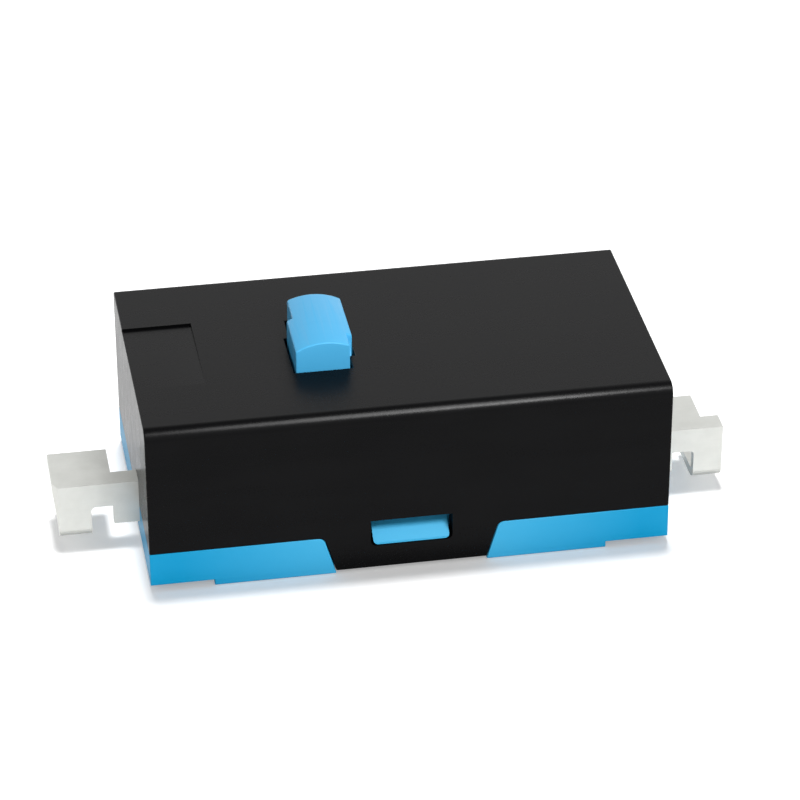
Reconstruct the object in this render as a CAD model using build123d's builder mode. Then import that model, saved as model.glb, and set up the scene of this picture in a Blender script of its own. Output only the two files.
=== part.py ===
from build123d import *

import os
from math import degrees, radians, sin, tan

# Low-profile surface-mount micro switch, in millimetres.
# X runs along the body from the common terminal (-X) to the open terminal (+X), Y runs to the
# back and Z up.  The origin is the centre of the base's standing pad.

# ---------------------------------------------------------------- driving dimensions
# Housing
body_length = 11.0
body_depth = 6.05
body_height = 3.84
rim_top = 0.89  # joint line between the base's rim and the cover
end_relief = 0.132  # how far the base's ends stand clear of the board
pad_length = 8.32  # standing pad under the middle of the base
cover_wall = 0.42
roof = 0.40
front_edge_radius = 0.26  # of the cover's top
back_edge_radius = 0.16
shell_gap = 0.03  # between the cover's inside and the base's upstand
inner_corner_radius = 0.25

# Base
floor_thickness = 0.52
upstand_wall = 0.36
upstand_top = 2.05
slot_gap = 0.01  # round each strip of metal in its slot

# Tongue of the cover, at the front and the back, with its latch
tongue_bottom = 0.062  # height of its lower edge
tongue_width = 3.20  # at its lower edge
tongue_slope = 16.5  # of its sides, in degrees from upright
tongue_root_radius = 0.17
tongue_gap = 0.015
slot_width = 1.73
slot_bottom = 0.595
slot_height = 0.62
slot_corner_radius = 0.12
hook_height = 0.42
hook_land = 0.05  # upright face at the hook's tip
hook_inset = 0.02  # of the hook's tip from the cover's face
hook_gap = 0.015  # under the hook in the slot
hook_side_gap = 0.06  # at each end of the hook in the slot

# Shallow wedge in the cover's top, at its left end
wedge_length = 1.475
wedge_back = 1.27
wedge_front = -1.26
wedge_depth = 0.05

# Plunger
plunger_x = -1.478
plunger_y = -0.06
plunger_width = 1.265
plunger_length = 2.10
key_step = 0.12
left_step_y = 0.227
right_step_y = -0.618
shoulder_height = 0.46  # above the cover
crown = 0.17  # rise of the arched top
plunger_gap = 0.04  # in the aperture
flange_margin = 0.22
flange_share = 0.435  # of the height between the blade and the roof; the ridge has the rest
flange_gap = 0.02  # under the roof
collar_wall = 0.20
collar_depth = 0.36
collar_gap = 0.05
ridge_width = 0.50
ridge_length = 1.90
ridge_gap = 0.03  # above the blade
press_share = 0.1294  # travel, as a share of the height between the strip and the roof

# Strip metal of the terminals
strip = 0.20
strip_front = -1.10
strip_top = 1.508
foot_bottom = 0.212
neck_bottom = 0.51
notch_top = 0.955
bend_top_radius = 0.08
bend_foot_radius = 0.26
bend_inner_radius = 0.05
notch_radius = 0.10
leg_outer = 7.135  # outer edge of the open leg from the middle
leg_width = 0.625
notch_width = 0.47
common_back = 0.29
common_neck_back = -0.641
common_leg_extra = 0.062  # how much further out the common leg's foot is
common_flare = 0.103  # how far that leg's top plate reaches beyond its foot
open_back = 0.291
open_leg_back = -0.614
open_leg_plate = 0.386  # width of the open leg's narrow top

# Inside of the common terminal
anchor_inset = 0.69  # from the end of the well to the anchor prong
anchor_width = 0.40
prong_span = 1.20  # over both prongs
fulcrum_width = 0.42
plate_beyond_prong = 0.35
web_height = 0.42
prong_top = 0.20  # above the blade
anchor_bite = 0.08
anchor_gap = 0.04
fulcrum_drop = 0.325  # from the blade's underside to the middle of the fulcrum's notch
fulcrum_bite = 0.15
fulcrum_opening = 0.40

# Inside of the open terminal and the rest stop
open_plate_reach = 0.75  # from the contact towards the middle
open_plate_back = 0.55
stop_tab_half = 0.50  # half the length of the tab over the contact
stop_leg_inset = 0.14  # from the end of the well
stop_leg_bottom = 0.75
stop_front = -0.45
stop_leg_front = 0.67
stop_back = 1.45
stop_gap = 0.02
stop_bend_radius = 0.30

# Ledges of the base that carry the inner plates
ledge_end_margin = 0.15
ledge_front_margin = 0.27
left_ledge_margin = 0.25
right_ledge_margin = 0.20

# Blade
blade = 0.08
blade_share = 0.58  # height of its underside, as a share of that between the strip and the roof
blade_width = 2.00
blade_tail = 0.43  # beyond the window, behind the anchor
blade_nose = 0.55  # beyond the contact
rail_width = 0.40
window_to_contact = 2.05
taper_to_contact = 1.55
taper_length = 1.00
tip_width = 1.10
tongue_strip_width = 0.66
tongue_seat = 0.04  # from the fulcrum's edge into its notch
tongue_lift = 0.035  # of the tongue's end over the middle of the notch
tongue_sag = 0.68  # of the bow below the blade

# Contacts
contact_inset = 1.24  # from the end of the well
moving_radius = 0.45
moving_head = 0.20
moving_dome = 0.06
moving_cap = 0.14
moving_cap_radius = 0.36
moving_shank_radius = 0.22
fixed_radius = 0.46
fixed_edge = 0.04
fixed_shank_radius = 0.25
closed_gap = 0.03

# ---------------------------------------------------------------- derived sizes
half_length = body_length / 2
half_depth = body_depth / 2
roof_underside = body_height - roof
shell_inner_half_length = half_length - cover_wall
shell_inner_half_depth = half_depth - cover_wall
upstand_half_length = shell_inner_half_length - shell_gap
upstand_half_depth = shell_inner_half_depth - shell_gap
cavity_half_length = upstand_half_length - upstand_wall
cavity_half_depth = upstand_half_depth - upstand_wall
strip_underside = strip_top - strip
room_height = roof_underside - strip_top
blade_z = strip_top + blade_share * room_height
press_travel = press_share * room_height
blade_top = blade_z + blade
contact_x = cavity_half_length - contact_inset
anchor_x = anchor_inset - cavity_half_length  # left edge of the anchor prong
fulcrum_x = anchor_x + prong_span  # right edge of the fulcrum prong
fulcrum_height = blade_z - fulcrum_drop
common_plate_end = fulcrum_x + plate_beyond_prong
open_plate_end = contact_x - open_plate_reach
web_end = open_plate_end + ledge_end_margin  # inner end of both front webs
stop_x = contact_x - stop_tab_half
stop_tab_right = contact_x + stop_tab_half
stop_leg_outer = cavity_half_length - stop_leg_inset
left_ledge_end = common_plate_end + ledge_end_margin
right_ledge_start = open_plate_end - ledge_end_margin
ledge_front = strip_front - ledge_front_margin
left_ledge_back = strip / 2 + left_ledge_margin
right_ledge_back = stop_back + right_ledge_margin
window_left = anchor_x + anchor_bite
window_right = contact_x - window_to_contact
blade_left = window_left - blade_tail
blade_right = contact_x + blade_nose
taper_start = contact_x - taper_to_contact
taper_end = taper_start + taper_length
pivot_x = window_left
pivot_z = blade_z + blade / 2
tongue_end_x = fulcrum_x - tongue_seat
tongue_end_z = fulcrum_height + tongue_lift
tongue_sag_x = (window_right + tongue_end_x) / 2
tongue_sag_z = pivot_z - tongue_sag
press_angle = press_travel / (plunger_x - pivot_x)  # radians
closed_contact_z = blade_z - moving_head - (contact_x - pivot_x) * sin(press_angle)
fixed_contact_top = closed_contact_z - closed_gap
moving_top = blade_top + moving_cap
stop_underside = moving_top + stop_gap
stop_top = stop_underside + strip
leg_inner = leg_outer - leg_width
strip_inside = strip_front + strip
neck_start = leg_inner - notch_width
flange_top = roof_underside - flange_gap
ridge_bottom = blade_top + ridge_gap
flange_bottom = flange_top - flange_share * (flange_top - ridge_bottom)
shoulder_z = body_height + shoulder_height
crown_z = shoulder_z + crown
beyond = 1.0  # how far a cutting shape runs past what it cuts

os.makedirs("parts", exist_ok=True)


# ---------------------------------------------------------------- shared shapes
def block(x, y, z, mode=Mode.ADD):
    """A block between two values along each axis, joined to or cut from the part in hand."""
    with BuildSketch(Plane.XY.offset(z[0])) as plan:
        with Locations(((x[0] + x[1]) / 2, (y[0] + y[1]) / 2)):
            Rectangle(x[1] - x[0], y[1] - y[0])
    extrude(plan.sketch, amount=z[1] - z[0], mode=mode)


def wall_profile(gap, low):
    """Front view of the cover's long wall: a band above the joint line, and a tongue below it."""
    slope = tan(radians(tongue_slope))
    top = rim_top + tongue_root_radius
    low_half = tongue_width / 2 + (low - tongue_bottom) * slope + gap
    root_half = tongue_width / 2 + (rim_top - tongue_bottom) * slope + gap
    with BuildSketch() as profile:
        with BuildLine():
            Polyline(
                (-half_length, top),
                (-half_length, rim_top),
                (-root_half, rim_top),
                (-low_half, low),
                (low_half, low),
                (root_half, rim_top),
                (half_length, rim_top),
                (half_length, top),
                close=True,
            )
        make_face()
        roots = [v for v in profile.vertices() if abs(abs(v.X) - root_half) < 1e-6]
        fillet(roots, tongue_root_radius)
    return profile.sketch


def strip_section(back, low, foot_back=None):
    """End view (Y, Z) of the bent strip: a top plate, a front web and, where it has one, a foot."""
    with BuildSketch() as section:
        with BuildLine():
            if foot_back is None:
                Polyline(
                    (back, strip_top),
                    (strip_front, strip_top),
                    (strip_front, low),
                    (strip_inside, low),
                    (strip_inside, strip_underside),
                    (back, strip_underside),
                    close=True,
                )
            else:
                Polyline(
                    (back, strip_top),
                    (strip_front, strip_top),
                    (strip_front, low),
                    (foot_back, low),
                    (foot_back, low + strip),
                    (strip_inside, low + strip),
                    (strip_inside, strip_underside),
                    (back, strip_underside),
                    close=True,
                )
        make_face()
        front_corners = section.vertices().group_by(Axis.X)[0].sort_by(Axis.Y)
        inner_corners = [v for v in section.vertices() if abs(v.X - strip_inside) < 1e-6 and v.Y > low + 1e-6]
        fillet(inner_corners, bend_inner_radius)
        fillet(front_corners[-1], bend_top_radius)
        if foot_back is not None:
            fillet(section.vertices().group_by(Axis.X)[0].sort_by(Axis.Y)[0], bend_foot_radius)
    return section.sketch


def strip_run(x, back, low, foot_back=None):
    """A straight run of the bent strip between two X values, joined to the part in hand."""
    section = Plane.YZ.offset(x[0]) * strip_section(back, low, foot_back)
    extrude(section, amount=x[1] - x[0])


def flared_leg(inner, outer, flare, back):
    """The common leg: its top plate reaches further out than its foot.

    The outer edge of the web between them slopes from one to the other, and is bevelled in front.
    """
    clear = flare + beyond
    middle = (strip_underside + foot_bottom) / 2
    strip_run((-flare, -inner), back, foot_bottom, back)
    block((-clear, -outer), (strip_inside, back), (foot_bottom, middle), Mode.SUBTRACT)
    with BuildSketch(Plane.XZ.offset(-strip_inside)) as slope:
        with BuildLine():
            Polyline(
                (-outer, foot_bottom),
                (-outer, foot_bottom + strip),
                (-flare, strip_underside),
                (-clear, strip_underside),
                (-clear, foot_bottom),
                close=True,
            )
        make_face()
    extrude(slope.sketch, amount=strip, mode=Mode.SUBTRACT)
    with BuildSketch(Plane.XY.offset(foot_bottom)) as bevel:
        with BuildLine():
            Polyline(
                (-outer, strip_front),
                (-flare, strip_inside),
                (-clear, strip_inside),
                (-clear, strip_front),
                close=True,
            )
        make_face()
    extrude(bevel.sketch, amount=strip_top - foot_bottom, mode=Mode.SUBTRACT)


def edges_at(solid, axis, **place):
    """Edges of a solid that run along an axis, with their middles at the given coordinates."""
    return solid.edges().filter_by(axis).filter_by(
        lambda edge: all(abs(getattr(edge.center(), name) - value) < 1e-4 for name, value in place.items())
    )


def finish(builder, label):
    """Label a finished piece and write its STEP file."""
    builder.part.label = label
    export_step(builder.part, f"parts/{label}.step")


def plunger_plan():
    """Keyed plan of the button: its back half is shifted to the right of its front half."""
    left = plunger_x - plunger_width / 2
    right = plunger_x + plunger_width / 2
    front = plunger_y - plunger_length / 2
    back = plunger_y + plunger_length / 2
    with BuildSketch() as plan:
        with BuildLine():
            Polyline(
                (left, front),
                (right - key_step, front),
                (right - key_step, right_step_y),
                (right, right_step_y),
                (right, back),
                (left + key_step, back),
                (left + key_step, left_step_y),
                (left, left_step_y),
                close=True,
            )
        make_face()
    return plan.sketch


# ---------------------------------------------------------------- base
with BuildPart() as base:
    block((-half_length, half_length), (-half_depth, half_depth), (end_relief, rim_top))
    block((-pad_length / 2, pad_length / 2), (-half_depth, half_depth), (0, end_relief))
    block(
        (-upstand_half_length, upstand_half_length),
        (-upstand_half_depth, upstand_half_depth),
        (rim_top, upstand_top),
    )
    # Well that holds the switch's works
    with BuildSketch(Plane.XY.offset(floor_thickness)):
        RectangleRounded(2 * cavity_half_length, 2 * cavity_half_depth, inner_corner_radius)
    extrude(amount=upstand_top - floor_thickness, mode=Mode.SUBTRACT)
    # Ledges under the inner plates of the terminals
    block(
        (-cavity_half_length, left_ledge_end),
        (ledge_front, left_ledge_back),
        (floor_thickness, strip_underside),
    )
    block(
        (right_ledge_start, cavity_half_length),
        (ledge_front, right_ledge_back),
        (floor_thickness, strip_underside),
    )
    # Tabs that fill the cover's end slots under the necks
    inside_web = strip_inside + slot_gap
    block((-half_length, -upstand_half_length), (inside_web, common_neck_back), (rim_top, strip_underside))
    block((upstand_half_length, half_length), (inside_web, open_back), (rim_top, strip_underside))
    # Slots that the terminals are pressed into from above
    web_slot = (strip_front - slot_gap, inside_web)
    block((-half_length, -web_end), web_slot, (neck_bottom, upstand_top), Mode.SUBTRACT)
    block((web_end, half_length), web_slot, (neck_bottom, upstand_top), Mode.SUBTRACT)
    neck_slot = (strip_underside, upstand_top)
    block(
        (-half_length, -cavity_half_length),
        (strip_front - slot_gap, common_neck_back + slot_gap),
        neck_slot,
        Mode.SUBTRACT,
    )
    block(
        (cavity_half_length, half_length),
        (strip_front - slot_gap, open_back + slot_gap),
        neck_slot,
        Mode.SUBTRACT,
    )
    # Relief for the inside of the bends between the webs and the plates
    bend_relief = (web_slot[1], web_slot[1] + bend_inner_radius)
    under_plate = (strip_underside - bend_inner_radius, strip_underside)
    block((-half_length, -web_end), bend_relief, under_plate, Mode.SUBTRACT)
    block((web_end, half_length), bend_relief, under_plate, Mode.SUBTRACT)
    # Slot for the rest stop's leg
    block(
        (stop_leg_outer - strip - slot_gap, stop_leg_outer + slot_gap),
        (stop_leg_front - slot_gap, stop_back + slot_gap),
        (stop_leg_bottom, strip_underside),
        Mode.SUBTRACT,
    )
    # Pockets for the cover's tongues, and the latch hooks in them
    for side in (1, -1):
        pocket = Plane.XZ.offset(side * half_depth) * wall_profile(tongue_gap, -beyond)
        extrude(pocket, amount=-side * (cover_wall + shell_gap), mode=Mode.SUBTRACT)
        root = -side * upstand_half_depth
        tip = -side * (half_depth - hook_inset)
        hook_bottom = slot_bottom + hook_gap
        with BuildSketch(Plane.XZ.offset(-root)) as hook:
            with Locations((0, hook_bottom + hook_height / 2)):
                Rectangle(slot_width - 2 * hook_side_gap, hook_height)
            fillet(hook.vertices().group_by(Axis.Y)[0], slot_corner_radius - hook_gap)
        extrude(hook.sketch, amount=root - tip)
        with BuildSketch(Plane.YZ) as ramp:
            with BuildLine():
                Polyline(
                    (tip, hook_bottom + hook_land),
                    (root, hook_bottom + hook_height),
                    (tip, hook_bottom + hook_height),
                    close=True,
                )
            make_face()
        extrude(ramp.sketch, amount=slot_width / 2, both=True, mode=Mode.SUBTRACT)
finish(base, "base")

# ---------------------------------------------------------------- cover
with BuildPart() as cover:
    block((-half_length, half_length), (-half_depth, half_depth), (rim_top, body_height))
    fillet(edges_at(cover.part, Axis.X, Y=-half_depth, Z=body_height), front_edge_radius)
    fillet(edges_at(cover.part, Axis.X, Y=half_depth, Z=body_height), back_edge_radius)
    # Open inside
    with BuildSketch(Plane.XY.offset(rim_top)):
        Rectangle(2 * shell_inner_half_length, 2 * shell_inner_half_depth)
    extrude(amount=roof_underside - rim_top, mode=Mode.SUBTRACT)
    # Front and back walls with their tongues and latch slots
    for side in (1, -1):
        wall = Plane.XZ.offset(side * half_depth) * wall_profile(0, tongue_bottom)
        extrude(wall, amount=-side * cover_wall)
        with BuildSketch(Plane.XZ.offset(side * half_depth)) as slot:
            with Locations((0, slot_bottom + slot_height / 2)):
                Rectangle(slot_width, slot_height)
            fillet(slot.vertices().group_by(Axis.Y)[0], slot_corner_radius)
        extrude(slot.sketch, amount=-side * cover_wall, mode=Mode.SUBTRACT)
    # Collar under the roof that guides the button's flange
    collar_x = plunger_width / 2 + flange_margin + collar_gap
    collar_y = plunger_length / 2 + flange_margin + collar_gap
    with BuildSketch(Plane.XY.offset(roof_underside)) as collar:
        with Locations((plunger_x, plunger_y)):
            Rectangle(2 * (collar_x + collar_wall), 2 * (collar_y + collar_wall))
            Rectangle(2 * collar_x, 2 * collar_y, mode=Mode.SUBTRACT)
    extrude(collar.sketch, amount=-collar_depth)
    # Aperture for the button
    aperture = Plane.XY.offset(roof_underside) * offset(
        plunger_plan(), amount=plunger_gap, kind=Kind.INTERSECTION, mode=Mode.PRIVATE
    )
    extrude(aperture, amount=roof, mode=Mode.SUBTRACT)
    # Slots in the end walls that drop over the terminals' necks
    neck_front = strip_front - slot_gap
    neck_top = strip_top + slot_gap
    block(
        (-half_length, -shell_inner_half_length),
        (neck_front, common_neck_back + slot_gap),
        (rim_top, neck_top),
        Mode.SUBTRACT,
    )
    block(
        (shell_inner_half_length, half_length),
        (neck_front, open_back + slot_gap),
        (rim_top, neck_top),
        Mode.SUBTRACT,
    )
    # Shallow wedge in the top, deepest at its back edge and open at the end
    with BuildSketch(Plane.YZ.offset(-half_length)) as wedge:
        with BuildLine():
            Polyline(
                (wedge_front, body_height),
                (wedge_back, body_height),
                (wedge_back, body_height - wedge_depth),
                close=True,
            )
        make_face()
    extrude(wedge.sketch, amount=wedge_length, mode=Mode.SUBTRACT)
finish(cover, "cover")

# ---------------------------------------------------------------- plunger
with BuildPart() as plunger:
    extrude(Plane.XY.offset(flange_bottom) * plunger_plan(), amount=crown_z - flange_bottom)
    # Arched top, round an axis along Y
    left = plunger_x - plunger_width / 2
    right = plunger_x + plunger_width / 2
    with BuildSketch(Plane.XZ) as arch:
        with BuildLine():
            ThreePointArc((left, shoulder_z), (plunger_x, crown_z), (right, shoulder_z))
            Polyline(
                (right, shoulder_z),
                (right + beyond, shoulder_z),
                (right + beyond, crown_z + beyond),
                (left - beyond, crown_z + beyond),
                (left - beyond, shoulder_z),
                (left, shoulder_z),
            )
        make_face()
    extrude(arch.sketch, amount=plunger_length, both=True, mode=Mode.SUBTRACT)
    # Flange that keeps the button in the cover
    with BuildSketch(Plane.XY.offset(flange_bottom)) as flange:
        with Locations((plunger_x, plunger_y)):
            Rectangle(plunger_width + 2 * flange_margin, plunger_length + 2 * flange_margin)
    extrude(flange.sketch, amount=flange_top - flange_bottom)
    # Rounded ridge that presses both rails of the blade
    with BuildSketch(Plane.XZ) as ridge:
        with BuildLine():
            arc_z = ridge_bottom + ridge_width / 2
            ThreePointArc(
                (plunger_x - ridge_width / 2, arc_z),
                (plunger_x, ridge_bottom),
                (plunger_x + ridge_width / 2, arc_z),
            )
            Polyline(
                (plunger_x + ridge_width / 2, arc_z),
                (plunger_x + ridge_width / 2, flange_bottom),
                (plunger_x - ridge_width / 2, flange_bottom),
                (plunger_x - ridge_width / 2, arc_z),
            )
        make_face()
    extrude(ridge.sketch, amount=ridge_length / 2, both=True)
finish(plunger, "plunger")

# ---------------------------------------------------------------- common terminal
with BuildPart() as common_terminal:
    common_leg_outer = leg_outer + common_leg_extra
    flared_leg(leg_inner, common_leg_outer, common_leg_outer + common_flare, common_back)
    strip_run((-leg_inner, -neck_start), common_back, notch_top)
    strip_run((-neck_start, -web_end), common_neck_back, neck_bottom)
    fillet(edges_at(common_terminal.part, Axis.Y, X=-leg_inner, Z=notch_top), notch_radius)
    # Inner plate, and the web that stands up from its back edge under the blade
    web_y = (-strip / 2, strip / 2)
    block(
        (-cavity_half_length + slot_gap, common_plate_end),
        (strip_front + bend_top_radius, web_y[1]),
        (strip_underside, strip_top),
    )
    web_top = strip_top + web_height
    fulcrum_left = fulcrum_x - fulcrum_width
    anchor_right = anchor_x + anchor_width
    with BuildSketch(Plane.XZ.offset(-web_y[1])) as prongs:
        with BuildLine():
            Polyline(
                (anchor_x, strip_underside),
                (fulcrum_x, strip_underside),
                (fulcrum_x, fulcrum_height - fulcrum_opening / 2),
                (fulcrum_x - fulcrum_bite, fulcrum_height - fulcrum_opening / 2),
                (fulcrum_x - fulcrum_bite, fulcrum_height + fulcrum_opening / 2),
                (fulcrum_x, fulcrum_height + fulcrum_opening / 2),
                (fulcrum_x, blade_top + prong_top),
                (fulcrum_left, blade_top + prong_top),
                (fulcrum_left, web_top),
                (anchor_right, web_top),
                (anchor_right, blade_top + prong_top),
                (anchor_x, blade_top + prong_top),
                (anchor_x, blade_top + anchor_gap),
                (anchor_x + anchor_bite + anchor_gap, blade_top + anchor_gap),
                (anchor_x + anchor_bite + anchor_gap, blade_z - anchor_gap),
                (anchor_x, blade_z - anchor_gap),
                close=True,
            )
        make_face()
    extrude(prongs.sketch, amount=strip)
finish(common_terminal, "common_terminal")

# ---------------------------------------------------------------- open terminal
with BuildPart() as open_terminal:
    strip_run((leg_outer - open_leg_plate, leg_outer), open_leg_back, foot_bottom, common_back)
    strip_run((leg_inner, leg_outer - open_leg_plate), open_back, foot_bottom, common_back)
    strip_run((neck_start, leg_inner), open_back, notch_top)
    strip_run((web_end, neck_start), open_back, neck_bottom)
    fillet(edges_at(open_terminal.part, Axis.Y, X=leg_inner, Z=notch_top), notch_radius)
    # Inner plate under the blade's contact
    plate_right = stop_leg_outer - strip - 2 * shell_gap
    block(
        (open_plate_end, plate_right),
        (strip_front + bend_top_radius, open_plate_back),
        (strip_underside, strip_top),
    )
    # Hole for the fixed contact's shank
    with Locations((contact_x, 0, strip_top)):
        Hole(fixed_shank_radius, strip)
finish(open_terminal, "open_terminal")

# ---------------------------------------------------------------- rest stop
with BuildPart() as rest_stop:
    with BuildSketch(Plane.XZ.offset(-stop_back)) as bent:
        with BuildLine():
            Polyline(
                (stop_x, stop_underside),
                (stop_x, stop_top),
                (stop_leg_outer, stop_top),
                (stop_leg_outer, stop_leg_bottom),
                (stop_leg_outer - strip, stop_leg_bottom),
                (stop_leg_outer - strip, stop_underside),
                close=True,
            )
        make_face()
        fillet(bent.vertices().group_by(Axis.X)[-1].sort_by(Axis.Y)[-1], stop_bend_radius)
    extrude(bent.sketch, amount=stop_back - stop_leg_front)
    fillet(
        edges_at(rest_stop.part, Axis.Y, X=stop_leg_outer - strip, Z=stop_underside),
        stop_bend_radius - strip,
    )
    # Tab that reaches over the moving contact
    block((stop_x, stop_tab_right), (stop_front, stop_leg_front), (stop_underside, stop_top))
finish(rest_stop, "rest_stop")

# ---------------------------------------------------------------- snap blade
with BuildPart() as snap_blade:
    with BuildSketch(Plane.XY.offset(blade_z)) as frame:
        with BuildLine():
            Polyline(
                (blade_left, -blade_width / 2),
                (taper_start, -blade_width / 2),
                (taper_end, -tip_width / 2),
                (blade_right, -tip_width / 2),
                (blade_right, tip_width / 2),
                (taper_end, tip_width / 2),
                (taper_start, blade_width / 2),
                (blade_left, blade_width / 2),
                close=True,
            )
        make_face()
        fillet(frame.vertices().group_by(Axis.X)[-1], tip_width / 3)
        window_length = window_right - window_left
        with Locations(((window_left + window_right) / 2, 0)):
            Rectangle(window_length, blade_width - 2 * rail_width, mode=Mode.SUBTRACT)
        with Locations((contact_x, 0)):
            Circle(moving_shank_radius, mode=Mode.SUBTRACT)
    extrude(frame.sketch, amount=blade)
    # Bowed tongue from the window's right edge back to the fulcrum
    with BuildSketch(Plane.XZ.offset(-tongue_strip_width / 2)) as tongue:
        with BuildLine() as bow:
            ThreePointArc(
                (window_right + blade, pivot_z),
                (tongue_sag_x, tongue_sag_z),
                (tongue_end_x, tongue_end_z),
            )
        trace(bow.line, line_width=blade)
    extrude(tongue.sketch, amount=tongue_strip_width)
finish(snap_blade, "snap_blade")

# ---------------------------------------------------------------- contacts
with BuildPart() as moving_contact:
    with BuildSketch(Plane.XZ) as half:
        with BuildLine():
            Polyline(
                (contact_x, moving_top),
                (contact_x + moving_cap_radius, moving_top),
                (contact_x + moving_cap_radius, blade_top),
                (contact_x + moving_shank_radius, blade_top),
                (contact_x + moving_shank_radius, blade_z),
                (contact_x + moving_radius, blade_z),
                (contact_x + moving_radius, blade_z - moving_head + moving_dome),
            )
            TangentArc(
                (contact_x, blade_z - moving_head),
                (contact_x + moving_radius, blade_z - moving_head + moving_dome),
                tangent=(1, 0),
            )
            Line((contact_x, blade_z - moving_head), (contact_x, moving_top))
        make_face()
    revolve(half.sketch, axis=Axis((contact_x, 0, 0), (0, 0, 1)))
finish(moving_contact, "moving_contact")

with BuildPart() as fixed_contact:
    with Locations((contact_x, 0, strip_underside)):
        Cylinder(fixed_shank_radius, strip, align=(Align.CENTER, Align.CENTER, Align.MIN))
    with Locations((contact_x, 0, strip_top)):
        Cylinder(fixed_radius, fixed_contact_top - strip_top, align=(Align.CENTER, Align.CENTER, Align.MIN))
    chamfer(fixed_contact.edges().group_by(Axis.Z)[-1], fixed_edge)
finish(fixed_contact, "fixed_contact")

print("pivot height", round(pivot_z, 4), "mm; blade turns", round(degrees(press_angle), 3), "degrees")
print("for a press of", round(press_travel, 4), "mm")
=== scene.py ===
"""Looks of a low-profile surface-mount micro switch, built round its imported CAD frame."""

import logging
import math
from collections.abc import Callable
from dataclasses import dataclass, field
from enum import Enum
from typing import Any

import bmesh
import bpy
from mathutils import Matrix, Vector


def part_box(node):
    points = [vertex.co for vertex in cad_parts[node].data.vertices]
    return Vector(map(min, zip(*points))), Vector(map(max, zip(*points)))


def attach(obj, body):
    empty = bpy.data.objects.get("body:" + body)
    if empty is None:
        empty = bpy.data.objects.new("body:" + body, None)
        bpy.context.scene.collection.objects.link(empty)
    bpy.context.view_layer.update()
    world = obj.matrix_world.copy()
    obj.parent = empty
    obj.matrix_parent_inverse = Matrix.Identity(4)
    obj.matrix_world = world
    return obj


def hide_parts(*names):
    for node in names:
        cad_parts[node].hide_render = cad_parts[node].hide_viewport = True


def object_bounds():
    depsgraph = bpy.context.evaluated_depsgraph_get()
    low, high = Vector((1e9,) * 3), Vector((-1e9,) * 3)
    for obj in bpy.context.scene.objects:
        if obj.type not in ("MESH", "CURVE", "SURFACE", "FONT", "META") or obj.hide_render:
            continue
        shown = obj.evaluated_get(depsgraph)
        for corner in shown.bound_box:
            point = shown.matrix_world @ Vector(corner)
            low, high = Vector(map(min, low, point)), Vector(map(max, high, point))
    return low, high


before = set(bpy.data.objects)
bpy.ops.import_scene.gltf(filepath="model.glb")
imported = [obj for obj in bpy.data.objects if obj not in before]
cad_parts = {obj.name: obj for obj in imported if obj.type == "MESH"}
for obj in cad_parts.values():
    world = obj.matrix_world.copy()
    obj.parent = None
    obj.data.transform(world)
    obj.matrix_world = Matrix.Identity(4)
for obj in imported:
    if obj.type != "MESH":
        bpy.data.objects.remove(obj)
CAD_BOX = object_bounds()
MM = 0.001
WELD_MM = 1e-4  # corners of the CAD mesh's loose triangles that are one corner
SAME_PLACE_MM = 0.002  # how near a corner has to be to count as on a plane
FLAT_DEG = 0.5  # two CAD triangles that fold less than this are one face
LEVEL_DEG = 0.02  # a fold flatter than this is none
HARD_DEG = 25.0  # a fold sharper than this is an edge
OPEN_EDGE_DEG = 180.0  # stands for the fold of an edge that doesn't join two faces
FACES_UP = 0.5  # a face looks up if the upright part of its normal is more than this
PIN_SIDES, GATE_SIDES, RIVET_SIDES = 40, 24, 48  # sides of the round forms
HEAD_RINGS, SHANK_RINGS, CAP_RINGS = 6, 1, 3  # rings of faces across a rivet's drums
LOG = logging.getLogger("micro_switch")


class Body(Enum):
    """The rigid bodies that the pieces ride on."""

    HOUSING = "housing"
    BUTTON = "button"
    BLADE = "blade"


class Slot(Enum):
    """The record's material slots."""

    BASE = "base_plastic"
    COVER = "cover_plastic"
    BUTTON = "button_plastic"
    TERMINAL = "terminal_metal"
    BLADE = "blade_metal"
    CONTACT = "contact_metal"


# ------------------------------------------------------------------ node helpers
def linear(code: str) -> tuple[float, float, float, float]:
    """Turn an sRGB colour into Blender's linear one.

    Args:
        code: The colour as "#RRGGBB".

    Returns:
        Red, green, blue and alpha, from 0 to 1.
    """
    channels = [int(code[i : i + 2], 16) / 255.0 for i in (1, 3, 5)]
    red, green, blue = (c / 12.92 if c <= 0.04045 else ((c + 0.055) / 1.055) ** 2.4 for c in channels)
    return red, green, blue, 1.0


def node(tree: bpy.types.NodeTree, kind: str, settings: dict[Any, Any] | None = None, **attributes: Any) -> Any:
    """Add a node with its settings and links.

    Args:
        tree: The tree that gets the node.
        kind: The node's type.
        settings: Input name or number, against a value, or against an output socket to link from.
        attributes: Properties of the node itself, set before its inputs.

    Returns:
        The new node.
    """
    made = tree.nodes.new(kind)
    for name, value in attributes.items():
        setattr(made, name, value)
    for name, value in (settings or {}).items():
        if isinstance(value, bpy.types.NodeSocket):
            tree.links.new(value, made.inputs[name])
        else:
            made.inputs[name].default_value = value
    return made


def ramp(
    tree: bpy.types.NodeTree,
    factor: bpy.types.NodeSocket,
    low: float,
    high: float,
    to_low: float,
    to_high: float,
) -> bpy.types.NodeSocket:
    """Map a factor from one range to another, held at the ends.

    Args:
        tree: The tree that gets the node.
        factor: The value to map.
        low: Start of its range.
        high: End of its range.
        to_low: What the start becomes.
        to_high: What the end becomes.

    Returns:
        The socket of the mapped value.
    """
    made = node(
        tree,
        "ShaderNodeMapRange",
        {"Value": factor, "From Min": low, "From Max": high, "To Min": to_low, "To Max": to_high},
    )
    return made.outputs["Result"]


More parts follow.
